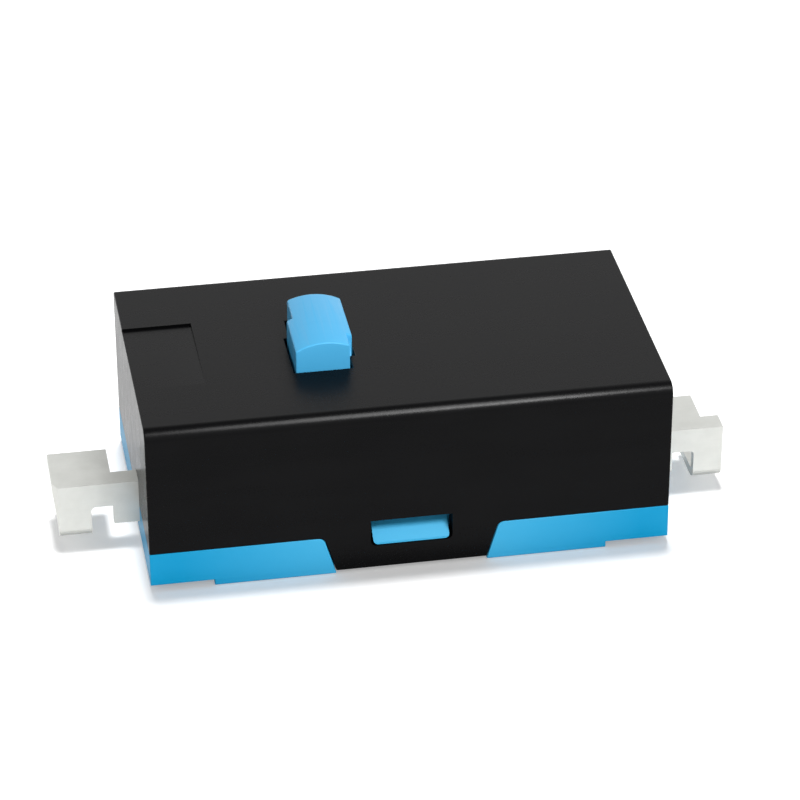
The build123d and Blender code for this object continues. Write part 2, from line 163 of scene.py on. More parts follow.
# ------------------------------------------------------------------ finishes
@dataclass(frozen=True)
class Finish:
    """What every finish has: a name, a shader and a pattern in the piece's own coordinates.

    Args:
        name: The material's name.
    """

    name: str = "finish"

    def material(self) -> bpy.types.Material:
        """Make the material, or find it if it has been made.

        Returns:
            The material.
        """
        found = bpy.data.materials.get(self.name)
        if found is not None:
            return found
        material = bpy.data.materials.new(self.name)
        material.use_nodes = True
        tree = material.node_tree
        tree.nodes.clear()
        place = node(tree, "ShaderNodeTexCoord").outputs["Object"]
        shader = node(tree, "ShaderNodeBsdfPrincipled")
        node(tree, "ShaderNodeOutputMaterial", {"Surface": shader.outputs["BSDF"]})
        self.paint(tree, shader, place)
        return material

    def paint(self, tree: bpy.types.NodeTree, shader: Any, place: bpy.types.NodeSocket) -> None:
        """Dress the shader.

        Args:
            tree: The material's tree.
            shader: Its Principled shader.
            place: Object coordinates, in metres.
        """
        raise NotImplementedError


@dataclass(frozen=True)
class MouldedPlastic(Finish):
    """Injection-moulded engineering plastic from a spark-eroded mould.

    The mould's fine sparked grain gives the eye a soft, even satin with no sharp mirror image. The pigment
    drifts very slightly from place to place, and the melt leaves faint flow marks along the part. Where a far
    colour is given, the colour also changes along x: the middle is painted lighter, a painted reflection, and
    both ends darker, a painted shade.

    Args:
        name: The material's name.
        colour: The pigment.
        drift: The colour where the pigment is thinner.
        grain_mm: Spacing of the sparked grain. The real one is 0.02 mm, drawn a little coarser to show.
        grain_depth_mm: Depth of the grain.
        cloud_mm: Size of the patches in which the pigment drifts.
        flow_mm: Width of the flow marks.
        flow_along: How fast the flow marks change along each axis, against their width.
        tinted: Range of the sum of patches and flow marks over which the colour changes.
        worn: Range of the sum of grain and flow marks over which the roughness changes.
        grain_strength: Strength of the grain.
        roughness: Least and greatest roughness.
        ior: Refractive index of the polymer.
        specular: How much of the mirror reflection the grain lets through, 0.5 being all of it.
        far: The darker colour at both ends, a painted shade; the colour given above stays in the middle, painted
            lighter there as a reflection. None if empty.
        painted_sheen_fade_mm: Distances from the middle along x at which the change to that darker colour starts and
            is complete.
        painted_sheen_fade_share: How much of the far colour there is at the ends.
    """

    name: str = "moulded_plastic"
    colour: str = "#808080"
    drift: str = "#888888"
    grain_mm: float = 0.045
    grain_depth_mm: float = 0.002
    cloud_mm: float = 1.6
    flow_mm: float = 0.3125
    flow_along: tuple[float, float, float] = (0.08, 1.0, 0.6)
    tinted: tuple[float, float] = (0.75, 1.25)
    worn: tuple[float, float] = (0.7, 1.3)
    grain_strength: float = 0.5
    roughness: tuple[float, float] = (0.36, 0.44)
    ior: float = 1.57
    specular: float = 0.5
    far: str = ""
    painted_sheen_fade_mm: tuple[float, float] = (1.7, 4.9)
    painted_sheen_fade_share: float = 0.95

    def paint(self, tree: bpy.types.NodeTree, shader: Any, place: bpy.types.NodeSocket) -> None:
        """Dress the shader with pigment, grain, flow marks and, where a far colour is given, painted reflection and
        shade along x.

        Args:
            tree: The material's tree.
            shader: Its Principled shader.
            place: Object coordinates, in metres.
        """
        grain = node(
            tree,
            "ShaderNodeTexNoise",
            {"Vector": place, "Scale": 1.0 / (self.grain_mm * MM), "Detail": 2.0, "Roughness": 0.6},
        ).outputs["Fac"]
        cloud = node(
            tree,
            "ShaderNodeTexNoise",
            {"Vector": place, "Scale": 1.0 / (self.cloud_mm * MM), "Detail": 3.0, "Roughness": 0.5},
        ).outputs["Fac"]
        stretched = node(tree, "ShaderNodeMapping", {"Vector": place, "Scale": self.flow_along}).outputs["Vector"]
        flow = node(
            tree,
            "ShaderNodeTexNoise",
            {"Vector": stretched, "Scale": 1.0 / (self.flow_mm * MM), "Detail": 2.0},
        ).outputs["Fac"]
        both = node(tree, "ShaderNodeMath", {0: cloud, 1: flow}, operation="ADD").outputs["Value"]
        tint = node(
            tree,
            "ShaderNodeMix",
            {
                "Factor": ramp(tree, both, *self.tinted, 0.0, 1.0),
                "A": linear(self.colour),
                "B": linear(self.drift),
            },
            data_type="RGBA",
        )
        # Painted reflection and shade: the middle keeps the lighter colour, painted as a reflection, and both ends
        # turn to the darker far colour along x.
        if self.far:
            along = node(tree, "ShaderNodeSeparateXYZ", {"Vector": place}).outputs["X"]
            away = node(tree, "ShaderNodeMath", {0: along}, operation="ABSOLUTE").outputs["Value"]
            start, full = (distance * MM for distance in self.painted_sheen_fade_mm)
            tint = node(
                tree,
                "ShaderNodeMix",
                {
                    "Factor": ramp(tree, away, start, full, 0.0, self.painted_sheen_fade_share),
                    "A": tint.outputs["Result"],
                    "B": linear(self.far),
                },
                data_type="RGBA",
            )
        tree.links.new(tint.outputs["Result"], shader.inputs["Base Color"])
        wear = node(tree, "ShaderNodeMath", {0: grain, 1: flow}, operation="ADD").outputs["Value"]
        tree.links.new(ramp(tree, wear, *self.worn, *self.roughness), shader.inputs["Roughness"])
        bump = node(
            tree,
            "ShaderNodeBump",
            {"Strength": self.grain_strength, "Distance": self.grain_depth_mm * MM, "Height": grain},
        )
        tree.links.new(bump.outputs["Normal"], shader.inputs["Normal"])
        shader.inputs["IOR"].default_value = self.ior
        shader.inputs["Specular IOR Level"].default_value = self.specular


@dataclass(frozen=True)
class RolledStrip(Finish):
    """Cold-rolled strip metal, bare or plated.

    Rolling leaves fine lines along the strip, which stretch a highlight across them, and a plated strip
    gets a soft cloudy lustre over them.

    Args:
        name: The material's name.
        colour: The metal.
        shade: The metal where the lustre is duller.
        line_mm: Spacing of the rolling lines. Real ones are 0.005 mm, drawn as coarse as they need to show.
        line_depth_mm: Depth of the rolling lines.
        cloud_mm: Size of the patches of lustre.
        tinted: Range of the patches over which the colour changes.
        worn: Range of the sum of patches and lines over which the roughness changes.
        line_strength: Strength of the rolling lines.
        roughness: Least and greatest roughness.
        along: Stretch of the lines along each axis.
    """

    name: str = "rolled_strip"
    colour: str = "#C8C8C4"
    shade: str = "#B4B4B0"
    line_mm: float = 0.03
    line_depth_mm: float = 0.0006
    cloud_mm: float = 0.35
    tinted: tuple[float, float] = (0.35, 0.65)
    worn: tuple[float, float] = (0.7, 1.3)
    line_strength: float = 0.6
    roughness: tuple[float, float] = (0.34, 0.46)
    along: tuple[float, float, float] = (0.04, 1.0, 1.0)

    def paint(self, tree: bpy.types.NodeTree, shader: Any, place: bpy.types.NodeSocket) -> None:
        """Dress the shader with rolling lines and lustre.

        Args:
            tree: The material's tree.
            shader: Its Principled shader.
            place: Object coordinates, in metres.
        """
        drawn = node(tree, "ShaderNodeMapping", {"Vector": place, "Scale": self.along}).outputs["Vector"]
        lines = node(
            tree,
            "ShaderNodeTexNoise",
            {"Vector": drawn, "Scale": 1.0 / (self.line_mm * MM), "Detail": 3.0, "Roughness": 0.65},
        ).outputs["Fac"]
        cloud = node(
            tree,
            "ShaderNodeTexNoise",
            {"Vector": place, "Scale": 1.0 / (self.cloud_mm * MM), "Detail": 4.0, "Roughness": 0.55},
        ).outputs["Fac"]
        both = node(tree, "ShaderNodeMath", {0: cloud, 1: lines}, operation="ADD").outputs["Value"]
        tint = node(
            tree,
            "ShaderNodeMix",
            {
                "Factor": ramp(tree, cloud, *self.tinted, 0.0, 1.0),
                "A": linear(self.colour),
                "B": linear(self.shade),
            },
            data_type="RGBA",
        )
        tree.links.new(tint.outputs["Result"], shader.inputs["Base Color"])
        tree.links.new(ramp(tree, both, *self.worn, *self.roughness), shader.inputs["Roughness"])
        bump = node(
            tree,
            "ShaderNodeBump",
            {"Strength": self.line_strength, "Distance": self.line_depth_mm * MM, "Height": lines},
        )
        tree.links.new(bump.outputs["Normal"], shader.inputs["Normal"])
        shader.inputs["Metallic"].default_value = 1.0


@dataclass(frozen=True)
class StudioSweep(Finish):
    """Matt white studio paper, which shows as plain white and keeps the soft shadow.

    Args:
        name: The material's name.
        colour: The paper.
        fibre_mm: Size of the clumps of paper fibre.
        clumped: Range of the clumps over which the roughness changes.
        roughness: Least and greatest roughness.
        seen: Light added to it where it is seen directly.
        mirrored: Light added to it where it is seen in a gloss or through glass.
    """

    name: str = "studio_paper"
    colour: str = "#F4F4F4"
    fibre_mm: float = 0.4
    clumped: tuple[float, float] = (0.3, 0.7)
    roughness: tuple[float, float] = (0.9, 1.0)
    seen: float = 0.32
    mirrored: float = 0.36

    def paint(self, tree: bpy.types.NodeTree, shader: Any, place: bpy.types.NodeSocket) -> None:
        """Dress the shader with faint paper fibre and the background's own light.

        Args:
            tree: The material's tree.
            shader: Its Principled shader.
            place: Object coordinates, in metres.
        """
        fibre = node(
            tree,
            "ShaderNodeTexNoise",
            {"Vector": place, "Scale": 1.0 / (self.fibre_mm * MM), "Detail": 2.0},
        ).outputs["Fac"]
        tree.links.new(ramp(tree, fibre, *self.clumped, *self.roughness), shader.inputs["Roughness"])
        shader.inputs["Base Color"].default_value = linear(self.colour)
        shader.inputs["Specular IOR Level"].default_value = 0.0
        shader.inputs["Emission Color"].default_value = (1.0, 1.0, 1.0, 1.0)
        path = node(tree, "ShaderNodeLightPath").outputs
        glow = node(tree, "ShaderNodeMath", {0: path["Is Camera Ray"], 1: self.seen}, operation="MULTIPLY")
        gloss = node(
            tree,
            "ShaderNodeMath",
            {0: path["Is Glossy Ray"], 1: path["Is Transmission Ray"]},
            operation="MAXIMUM",
        )
        both = node(
            tree,
            "ShaderNodeMath",
            {0: gloss.outputs["Value"], 1: self.mirrored, 2: glow.outputs["Value"]},
            operation="MULTIPLY_ADD",
        )
        tree.links.new(both.outputs["Value"], shader.inputs["Emission Strength"])


# Glass-filled polyester moulded in black: the glass brings a fine matt skin, so only a grazing look at it
# mirrors the room.
COVER_POLYESTER = MouldedPlastic(
    name="moulded_black_glass_filled_polyester",
    colour="#050506",
    drift="#080809",
    roughness=(0.26, 0.32),
    specular=0.051,
)
# Unfilled polyester in sky blue: a denser, slightly glossier skin than the cover's. The blue is painted lighter in
# the middle, a painted reflection, and darker towards both ends, a painted shade.
BASE_POLYESTER = MouldedPlastic(
    name="moulded_sky_blue_polyester",
    colour="#38A0CC",
    drift="#3EA3CE",
    roughness=(0.38, 0.46),
    specular=0.12,
    # the darker colour of both ends: painted shade, against the painted reflection in the middle
    far="#008BBA",
)
# Acetal in the same blue: waxy, a touch lighter and smoother, as sliding parts are.
BUTTON_ACETAL = MouldedPlastic(
    name="moulded_sky_blue_acetal",
    colour="#4BAFE2",
    drift="#50B2E4",
    grain_depth_mm=0.0015,
    roughness=(0.34, 0.42),
    ior=1.48,
    specular=0.25,
)
# Matt tin over brass: pale, warm-white grey, with a soft cloudy lustre.
TERMINAL_TIN = RolledStrip(
    name="matt_tin_plated_brass_strip",
    colour="#C8C9C5",
    shade="#C4C5C1",
    line_depth_mm=0.0001,
    roughness=(0.50, 0.56),
)
# Bare beryllium copper: reddish gold, brighter and with clearer rolling lines.
BLADE_COPPER = RolledStrip(
    name="rolled_beryllium_copper",
    colour="#D6A57A",
    shade="#CF9C72",
    line_depth_mm=0.00025,
    roughness=(0.22, 0.34),
)
# Silver alloy, headed cold: white metal with a soft sheen from the die.
CONTACT_SILVER = RolledStrip(
    name="cold_headed_silver_alloy",
    colour="#E9E6E0",
    shade="#DAD6CE",
    line_mm=0.05,
    roughness=(0.18, 0.30),
    along=(1.0, 1.0, 1.0),
)


# ------------------------------------------------------------------ mesh helpers
def link(name: str, mesh: bpy.types.Mesh) -> bpy.types.Object:
    """Put a mesh into the scene as an object at the origin.

    Args:
        name: The object's name.
        mesh: Its mesh, in metres.

    Returns:
        The object.
    """
    made = bpy.data.objects.new(name, mesh)
    bpy.context.scene.collection.objects.link(made)
    return made


def merged_copy(source: str, name: str) -> bpy.types.Object:
    """Copy a CAD node's mesh, with its loose triangles joined into clean faces.

    Args:
        source: The CAD node.
        name: The copy's name.

    Returns:
        The copy, with no material yet.
    """
    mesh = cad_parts[source].data.copy()
    mesh.materials.clear()
    work = bmesh.new()
    work.from_mesh(mesh)
    bmesh.ops.remove_doubles(work, verts=work.verts, dist=WELD_MM * MM)
    bmesh.ops.dissolve_limit(work, angle_limit=math.radians(FLAT_DEG), verts=work.verts, edges=work.edges)
    work.to_mesh(mesh)
    work.free()
    return link(name, mesh)


def soften(
    piece: bpy.types.Object,
    width_mm: float,
    keep: Callable[[bmesh.types.BMEdge], bool] | None = None,
    segments: int = 3,
    fold: float = 3.0,
) -> None:
    """Round a piece's sharp edges, as a mould or a press tool leaves them.

    Args:
        piece: The piece.
        width_mm: Width of the rounding.
        keep: Says of a sharp edge whether it is rounded; every sharp edge is, if there is none.
        segments: Faces across the rounding.
        fold: Folds flatter than this many degrees are real ones and stay crisp.
    """
    mesh = piece.data
    work = bmesh.new()
    work.from_mesh(mesh)
    weight = work.edges.layers.float.new("bevel_weight_edge")
    for edge in work.edges:
        angle = math.degrees(edge.calc_face_angle(0.0)) if edge.is_manifold else OPEN_EDGE_DEG
        rounded = HARD_DEG < angle < OPEN_EDGE_DEG and (keep is None or keep(edge))
        edge[weight] = 1.0 if rounded else 0.0
        edge.smooth = rounded or not (LEVEL_DEG < angle < fold or angle > HARD_DEG)
    work.to_mesh(mesh)
    work.free()
    mesh.polygons.foreach_set("use_smooth", [True] * len(mesh.polygons))
    rounding = piece.modifiers.new("edge_rounding", "BEVEL")
    rounding.limit_method = "WEIGHT"
    rounding.width = width_mm * MM
    rounding.segments = segments
    rounding.use_clamp_overlap = False
    rounding.miter_outer = "MITER_ARC"
    shading = piece.modifiers.new("face_shading", "WEIGHTED_NORMAL")
    shading.keep_sharp = True


def on_outside(edge: bmesh.types.BMEdge, low: Vector, high: Vector) -> bool:
    """Say whether an edge lies on the outside of a box.

    Args:
        edge: The edge.
        low: The box's lowest corner.
        high: Its highest corner.

    Returns:
        True if both ends lie on one of its faces.
    """
    near = SAME_PLACE_MM * MM
    ends = [v.co for v in edge.verts]
    return any(
        all(abs(end[axis] - side[axis]) < near for end in ends) for axis in range(3) for side in (low, high)
    )


def dress(
    piece: bpy.types.Object,
    finish: Finish,
    body: Body,
    stands_for: tuple[str, ...] = (),
) -> bpy.types.Object:
    """Give a piece its finish and body, and report it.

    Args:
        piece: The piece.
        finish: Its finish.
        body: The body that it rides on.
        stands_for: The CAD nodes that it replaces.

    Returns:
        The piece.
    """
    piece.data.materials.clear()
    piece.data.materials.append(finish.material())
    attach(piece, body.value)
    if stands_for:
        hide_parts(*stands_for)
    LOG.info("%s: %s faces, %s, on the %s", piece.name, len(piece.data.polygons), finish.name, body.value)
    return piece


# ------------------------------------------------------------------ geometry nodes
RIVET_SIZES = ("Head Radius", "Head Height", "Dome", "Shank Radius", "Shank Height", "Cap Radius", "Cap Height")


def new_tree(name: str, sizes: tuple[str, ...]) -> tuple[bpy.types.NodeTree, Any, Any]:
    """Start a Geometry Nodes tree with a geometry socket and named sizes.

    Args:
        name: The tree's name.
        sizes: Names of its inputs, all numbers in metres or radians.

    Returns:
        The tree, the outputs of its input node, and its output node.
    """
    tree = bpy.data.node_groups.new(name, "GeometryNodeTree")
    tree.interface.new_socket("Geometry", in_out="INPUT", socket_type="NodeSocketGeometry")
    for size in sizes:
        tree.interface.new_socket(size, in_out="INPUT", socket_type="NodeSocketFloat")
    tree.interface.new_socket("Geometry", in_out="OUTPUT", socket_type="NodeSocketGeometry")
    entry = node(tree, "NodeGroupInput").outputs
    return tree, entry, node(tree, "NodeGroupOutput")


def close_tree(
    tree: bpy.types.NodeTree,
    shape: bpy.types.NodeSocket,
    way_out: Any,
    skin: bpy.types.Material,
) -> None:
    """End a tree in Realize Instances and Set Material.

    Args:
        tree: The tree.
        shape: Its geometry so far.
        way_out: Its output node.
        skin: The material.
    """
    real = node(tree, "GeometryNodeRealizeInstances", {"Geometry": shape}).outputs["Geometry"]
    dressed = node(tree, "GeometryNodeSetMaterial", {"Geometry": real, "Material": skin}).outputs["Geometry"]
    tree.links.new(dressed, way_out.inputs["Geometry"])


def grow(piece: bpy.types.Object, tree: bpy.types.NodeTree, sizes: dict[str, float]) -> None:
    """Run a tree on a piece and keep the result as its plain mesh.

    Args:
        piece: The piece.
        tree: The tree.
        sizes: Its inputs by name.
    """
    maker = piece.modifiers.new(tree.name, "NODES")
    maker.node_group = tree
    sockets = {item.name: item.identifier for item in tree.interface.items_tree if item.in_out == "INPUT"}
    for name, size in sizes.items():
        maker[sockets[name]] = size
    bpy.context.view_layer.update()
    seen = piece.evaluated_get(bpy.context.evaluated_depsgraph_get())
    mesh = bpy.data.meshes.new_from_object(seen)
    mesh.name = piece.name
    piece.modifiers.remove(maker)
    piece.data = mesh


def mould_marks(skin: bpy.types.Material) -> bpy.types.NodeTree:
    """Make the tree that presses ejector-pin marks and a gate mark into a moulding's underside.

    Args:
        skin: The moulding's material.

    Returns:
        The tree. It cuts shallow round pits, on a grid of two by two, up into the plane z = 0.
    """
    tree, entry, way_out = new_tree("mould_marks", ("Radius", "Depth", "Spacing X", "Spacing Y", "Gate"))
    corners = node(
        tree,
        "GeometryNodeMeshGrid",
        {"Size X": entry["Spacing X"], "Size Y": entry["Spacing Y"], "Vertices X": 2, "Vertices Y": 2},
    ).outputs["Mesh"]
    double = node(tree, "ShaderNodeMath", {0: entry["Depth"], 1: 2.0}, operation="MULTIPLY").outputs["Value"]
    pin = node(
        tree,
        "GeometryNodeMeshCylinder",
        {"Vertices": PIN_SIDES, "Radius": entry["Radius"], "Depth": double},
    ).outputs["Mesh"]
    pins = node(tree, "GeometryNodeInstanceOnPoints", {"Points": corners, "Instance": pin}).outputs["Instances"]
    gate = node(
        tree,
        "GeometryNodeMeshCylinder",
        {"Vertices": GATE_SIDES, "Radius": entry["Gate"], "Depth": double},
    ).outputs["Mesh"]
    tools = node(tree, "GeometryNodeJoinGeometry")
    tree.links.new(gate, tools.inputs["Geometry"])
    tree.links.new(pins, tools.inputs["Geometry"])
    real = node(tree, "GeometryNodeRealizeInstances", {"Geometry": tools.outputs["Geometry"]}).outputs["Geometry"]
    cut = node(tree, "GeometryNodeMeshBoolean", {"Mesh 1": entry["Geometry"], "Mesh 2": real}, operation="DIFFERENCE")
    close_tree(tree, cut.outputs["Mesh"], way_out, skin)
    return tree


def rivet(skin: bpy.types.Material) -> bpy.types.NodeTree:
    """Make the tree of a contact rivet: a domed head, a shank and a cap along z.

    Args:
        skin: The rivet's material.

    Returns:
        The tree. The head's face is at the point it grows from, with the rest above it; half a turn hangs it.
    """
    tree, entry, way_out = new_tree("contact_rivet", (*RIVET_SIZES, "Turn"))

    def drum(radius: str, height: str, base: bpy.types.NodeSocket | float, rings: int) -> Any:
        """Add a closed drum that stands at a height.

        Args:
            radius: The input that is its radius.
            height: The input that is its height.
            base: Where its underside is.
            rings: Rings of faces across each end.

        Returns:
            Its node, and the offset that puts it in its place.
        """
        made = node(
            tree,
            "GeometryNodeMeshCylinder",
            {"Vertices": RIVET_SIDES, "Fill Segments": rings, "Radius": entry[radius], "Depth": entry[height]},
            fill_type="TRIANGLE_FAN",
        )
        half = node(tree, "ShaderNodeMath", {0: entry[height], 1: 0.5, 2: base}, operation="MULTIPLY_ADD")
        place = node(tree, "ShaderNodeCombineXYZ", {"Z": half.outputs["Value"]}).outputs["Vector"]
        return made, place

    head, head_place = drum("Head Radius", "Head Height", 0.0, HEAD_RINGS)
    where = node(tree, "GeometryNodeInputPosition").outputs["Position"]
    flat = node(tree, "ShaderNodeVectorMath", {0: where, 1: (1.0, 1.0, 0.0)}, operation="MULTIPLY").outputs["Vector"]
    away = node(tree, "ShaderNodeVectorMath", {0: flat}, operation="LENGTH").outputs["Value"]
    share = node(tree, "ShaderNodeMath", {0: away, 1: entry["Head Radius"]}, operation="DIVIDE").outputs["Value"]
    square = node(tree, "ShaderNodeMath", {0: share, 1: share}, operation="MULTIPLY").outputs["Value"]
    lift = node(tree, "ShaderNodeMath", {0: square, 1: entry["Dome"]}, operation="MULTIPLY").outputs["Value"]
    raised = node(tree, "ShaderNodeCombineXYZ", {"Z": lift}).outputs["Vector"]
    domed = node(
        tree,
        "GeometryNodeSetPosition",
        {"Geometry": head.outputs["Mesh"], "Selection": head.outputs["Bottom"], "Offset": raised},
    ).outputs["Geometry"]
    shank, shank_place = drum("Shank Radius", "Shank Height", entry["Head Height"], SHANK_RINGS)
    reach = node(tree, "ShaderNodeMath", {0: entry["Head Height"], 1: entry["Shank Height"]}, operation="ADD")
    cap, cap_place = drum("Cap Radius", "Cap Height", reach.outputs["Value"], CAP_RINGS)
    stack = node(tree, "GeometryNodeJoinGeometry")
    for shape, place in ((domed, head_place), (shank.outputs["Mesh"], shank_place), (cap.outputs["Mesh"], cap_place)):
        moved = node(tree, "GeometryNodeTransform", {"Geometry": shape, "Translation": place})
        tree.links.new(moved.outputs["Geometry"], stack.inputs["Geometry"])
    turn = node(tree, "ShaderNodeCombineXYZ", {"X": entry["Turn"]}).outputs["Vector"]
    on_points = node(
        tree,
        "GeometryNodeInstanceOnPoints",
        {"Points": entry["Geometry"], "Instance": stack.outputs["Geometry"], "Rotation": turn},
    )
    close_tree(tree, on_points.outputs["Instances"], way_out, skin)
    return tree


# ------------------------------------------------------------------ sub-assemblies
@dataclass
class Housing:
    """The black cover and the blue base it snaps on to.

    Args:
        cover_edge_mm: Rounding of the cover's edges.
        base_edge_mm: Rounding of the base's edges.
        wedge_mm: Length, front, back and greatest depth of the shallow wedge in the cover's top, which stays
            crisp apart from its open end.
        slot_mm: Half the width, and the top, of the latch slots in the cover, which stay crisp too.
        eject_mm: Radius, depth and both spacings of the ejector-pin marks under the base.
        gate_mm: Radius of the gate mark in the middle between them.
        beside_mm: How far outside the wedge or a slot an edge may lie and still be one of its own.
    """

    cover_edge_mm: float = 0.03
    base_edge_mm: float = 0.02
    wedge_mm: tuple[float, float, float, float] = (1.475, -1.26, 1.27, 0.05)
    slot_mm: tuple[float, float] = (0.90, 1.25)
    eject_mm: tuple[float, float, float, float] = (0.42, 0.025, 6.2, 3.9)
    gate_mm: float = 0.22
    beside_mm: float = 0.01

    def build_cover(self) -> bpy.types.Object:
        """Build and dress the cover.

        Returns:
            The cover.
        """
        low, high = (Vector(corner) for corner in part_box("cover"))
        cover = merged_copy("cover", "cover_shell")
        length, front, back, depth = (size * MM for size in self.wedge_mm)
        half_slot, slot_top = (size * MM for size in self.slot_mm)
        near = self.beside_mm * MM

        def rounded(edge: bmesh.types.BMEdge) -> bool:
            """Say whether an edge is rounded.

            Args:
                edge: The edge.

            Returns:
                True for an outer edge that isn't a slot's, nor the wedge's apart from that at its open end.
            """
            ends = [v.co for v in edge.verts]
            along_end = all(abs(end.x - low.x) < near for end in ends) and abs(ends[0].y - ends[1].y) > near
            in_wedge = not along_end and all(
                end.x < low.x + length + near
                and front - near < end.y < back + near
                and end.z > high.z - depth - near
                for end in ends
            )
            in_slot = all(abs(end.x) < half_slot and low.z + near < end.z < slot_top for end in ends)
            return on_outside(edge, low, high) and not in_wedge and not in_slot

        soften(cover, self.cover_edge_mm, rounded)
        return dress(cover, COVER_POLYESTER, Body.HOUSING, ("cover",))

    def build_base(self) -> None:
        """Build and dress the base."""
        low, high = (Vector(corner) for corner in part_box("base"))
        base = merged_copy("base", "base_tray")
        radius, depth, apart_x, apart_y = self.eject_mm
        sizes = {"Radius": radius, "Depth": depth, "Spacing X": apart_x, "Spacing Y": apart_y, "Gate": self.gate_mm}
        grow(base, mould_marks(BASE_POLYESTER.material()), {name: size * MM for name, size in sizes.items()})
        soften(base, self.base_edge_mm, lambda edge: on_outside(edge, low, high))
        dress(base, BASE_POLYESTER, Body.HOUSING, ("base",))

    def build(self) -> bpy.types.Object:
        """Build both mouldings.

        Returns:
            The cover.
        """
        self.build_base()
        return self.build_cover()


@dataclass
class Button:
    """The keyed button that presses the blade.

    Args:
        edge_mm: Rounding of its edges.
        width_mm: Width of the arched top.
        crown_mm: Rise of the arch.
        staves: Narrow faces across the arch, two of which are as wide as the key's step.
        snap_mm: A cut that passes a corner this near goes through it.
    """

    edge_mm: float = 0.035
    width_mm: float = 1.265
    crown_mm: float = 0.17
    staves: int = 21
    snap_mm: float = 0.003

    def refine_crown(self, button: bpy.types.Object) -> None:
        """Divide the arched top into narrow staves that lie on its true arc.

        Args:
            button: The button.
        """
        low, high = (Vector(corner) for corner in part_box("plunger"))
        middle = (low.x + high.x) / 2
        half, rise = self.width_mm * MM / 2, self.crown_mm * MM
        radius = (half**2 + rise**2) / (2 * rise)
        work = bmesh.new()
        work.from_mesh(button.data)
        for step in range(1, self.staves):
            arch = [f for f in work.faces if f.normal.z > FACES_UP and f.calc_center_median().z > high.z - rise]
            bmesh.ops.bisect_plane(
                work,
                geom=[*arch, *{e for f in arch for e in f.edges}, *{v for f in arch for v in f.verts}],
                dist=self.snap_mm * MM,
                plane_co=(middle - half + 2 * half * step / self.staves, 0.0, 0.0),
                plane_no=(1.0, 0.0, 0.0),
            )
        for vert in work.verts:
            across = min(abs(vert.co.x - middle), half)
            if vert.co.z > high.z - rise - SAME_PLACE_MM * MM:
                vert.co.z = high.z - radius + math.sqrt(radius**2 - across**2)
        work.to_mesh(button.data)
        work.free()

    def build(self) -> None:
        """Build and dress the button."""
        button = merged_copy("plunger", "button_key")
        self.refine_crown(button)
        soften(button, self.edge_mm, lambda edge: edge.is_convex, fold=0.0)
        dress(button, BUTTON_ACETAL, Body.BUTTON, ("plunger",))


@dataclass
class Terminals:
    """The two bent solder terminals and the rest stop, all sheared from strip.

    Args:
        edge_mm: Rounding of the rest stop's tumbled edges.
        pieces: The pieces of strip, and whether each is tumbled; the terminals' sheared edges stay crisp.
    """

    edge_mm: float = 0.018
    pieces: tuple[tuple[str, bool], ...] = (("common_terminal", False), ("open_terminal", False), ("rest_stop", True))

    def build(self) -> None:
        """Build and dress each piece of strip."""
        for source, tumbled in self.pieces:
            piece = merged_copy(source, source + "_strip")
            soften(piece, self.edge_mm, lambda edge: tumbled, segments=2)
            dress(piece, TERMINAL_TIN, Body.HOUSING, (source,))


@dataclass
class SnapWorks:
    """The snap blade and the two contact rivets.

    Args:
        edge_mm: Rounding of the blade's sheared edges.
        moving_mm: Head radius, head height, dome, shank radius, shank height, cap radius and cap height.
        fixed_mm: The same sizes of the fixed contact, whose cap is riveted flush.
    """

    edge_mm: float = 0.012
    moving_mm: tuple[float, ...] = (0.45, 0.20, 0.06, 0.22, 0.08, 0.36, 0.14)
    fixed_mm: tuple[float, ...] = (0.46, 0.137, 0.03, 0.25, 0.15, 0.25, 0.05)

    def build_rivet(self, source: str, sizes: tuple[float, ...], body: Body, hung: bool) -> None:
        """Build and dress a contact rivet in the place of its CAD node.

        Args:
            source: The CAD node.
            sizes: The rivet's sizes in millimetres.
            body: The body that it rides on.
            hung: Whether its head's face points up, so that the rest hangs below it.
        """
        low, high = (Vector(corner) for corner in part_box(source))
        mesh = bpy.data.meshes.new(source + "_rivet")
        mesh.from_pydata([((low.x + high.x) / 2, (low.y + high.y) / 2, high.z if hung else low.z)], [], [])
        piece = link(source + "_rivet", mesh)
        values = {name: size * MM for name, size in zip(RIVET_SIZES, sizes)}
        values["Turn"] = math.pi if hung else 0.0
        grow(piece, rivet(CONTACT_SILVER.material()), values)
        soften(piece, self.edge_mm, segments=2, fold=0.0)
        dress(piece, CONTACT_SILVER, body, (source,))

    def build(self) -> None:
        """Build and dress the works."""
        blade = merged_copy("snap_blade", "snap_blade_strip")
        soften(blade, self.edge_mm, segments=2, fold=0.0)
        dress(blade, BLADE_COPPER, Body.BLADE, ("snap_blade",))
        self.build_rivet("moving_contact", self.moving_mm, Body.BLADE, False)
        self.build_rivet("fixed_contact", self.fixed_mm, Body.HOUSING, True)


# ------------------------------------------------------------------ studio
@dataclass
class Camera:
    """The camera, at the place from which the switch is shown.

    Args:
        place_mm: Position.
        yaw: Turn of the view to the right of +Y, in degrees.
        pitch: Tilt of the view below the horizon, in degrees.
        roll: Turn of the picture, in degrees.
        lens: Focal length in millimetres.
        sensor: Width of the sensor in millimetres.
        clip_m: Least and greatest distance that it sees, in metres.
    """

    place_mm: tuple[float, float, float] = (-10.863, -65.036, 42.152)
    yaw: float = 9.717
    pitch: float = 31.170
    roll: float = -0.147
    lens: float = 162.28
    sensor: float = 36.0
    clip_m: tuple[float, float] = (0.001, 10.0)

    def build(self) -> None:
        """Make the camera and make it the scene's own."""
        data = bpy.data.cameras.new("camera")
        data.lens = self.lens
        data.sensor_width = self.sensor
        data.clip_start, data.clip_end = self.clip_m
        camera = bpy.data.objects.new("camera", data)
        turn = (
            Matrix.Rotation(math.radians(-self.yaw), 4, "Z")
            @ Matrix.Rotation(math.radians(90.0 - self.pitch), 4, "X")
            @ Matrix.Rotation(math.radians(self.roll), 4, "Z")
        )
        camera.matrix_world = Matrix.Translation(Vector(self.place_mm) * MM) @ turn
        bpy.context.scene.collection.objects.link(camera)
        bpy.context.scene.camera = camera


